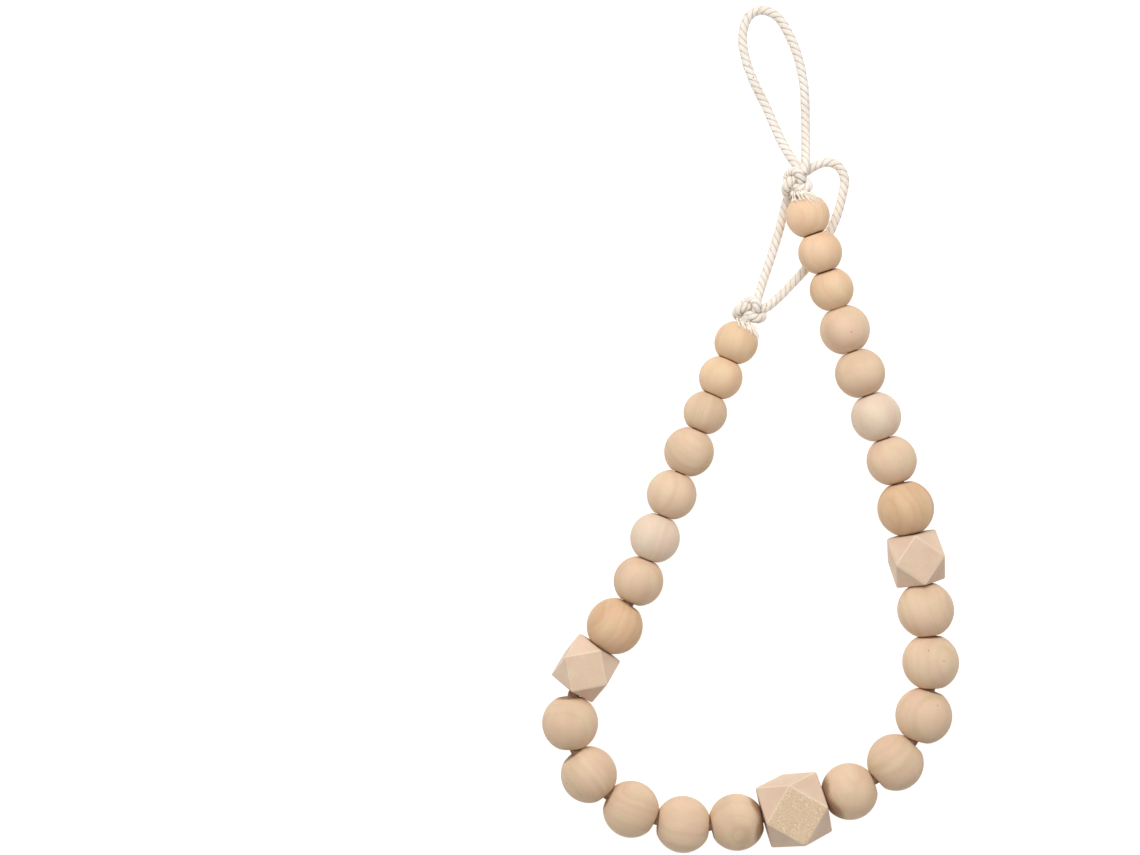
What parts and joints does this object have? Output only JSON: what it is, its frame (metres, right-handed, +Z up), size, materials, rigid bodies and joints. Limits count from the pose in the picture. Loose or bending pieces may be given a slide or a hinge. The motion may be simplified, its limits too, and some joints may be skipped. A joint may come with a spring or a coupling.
{
  "type": "wooden bead curtain tieback",
  "caption": "Curtain tieback of plain round and faceted wooden beads threaded on a twisted cotton cord, knotted into a hanging loop at each end and laid out flat.",
  "frame": {"origin": "on the surface it lies on, at the middle of the large faceted bead's lower square face", "axes": "+Z up, +Y from the large faceted bead towards the hanging loops, +X to the right seen from above"},
  "size_m": [0.1336, 0.2731, 0.02],
  "materials": {
    "honey_wood": "sanded, unvarnished, warm tone",
    "beige_wood": "sanded, unvarnished, middle tone",
    "pale_wood": "sanded, unvarnished, pale pinkish tone",
    "tan_wood": "sanded, unvarnished, darker banded tone",
    "raw_wood": "sawn and sanded facets, matt",
    "cotton_cord": "three-strand laid cotton rope, undyed"
  },
  "bodies": {
    "root": {"round_bead_01": "honey_wood", "round_bead_02": "honey_wood", "round_bead_03": "honey_wood", "round_bead_04": "beige_wood", "round_bead_05": "beige_wood", "round_bead_06": "pale_wood", "round_bead_07": "beige_wood", "round_bead_08": "tan_wood", "faceted_bead_01": "raw_wood", "round_bead_09": "beige_wood", "round_bead_10": "beige_wood", "round_bead_11": "beige_wood", "round_bead_12": "beige_wood", "round_bead_13": "beige_wood", "faceted_bead_02": "raw_wood", "round_bead_14": "beige_wood", "round_bead_15": "beige_wood", "round_bead_16": "beige_wood", "round_bead_17": "beige_wood", "round_bead_18": "beige_wood", "faceted_bead_03": "raw_wood", "round_bead_19": "tan_wood", "round_bead_20": "beige_wood", "round_bead_21": "pale_wood", "round_bead_22": "beige_wood", "round_bead_23": "beige_wood", "round_bead_24": "beige_wood", "round_bead_25": "honey_wood", "round_bead_26": "honey_wood", "bead_cord": "cotton_cord", "long_loop": "cotton_cord", "short_loop": "cotton_cord", "long_arm_knot": "cotton_cord", "short_arm_knot": "cotton_cord", "long_arm_frayed_end": "cotton_cord", "short_arm_frayed_end": "cotton_cord"}
  },
  "joints": []
}
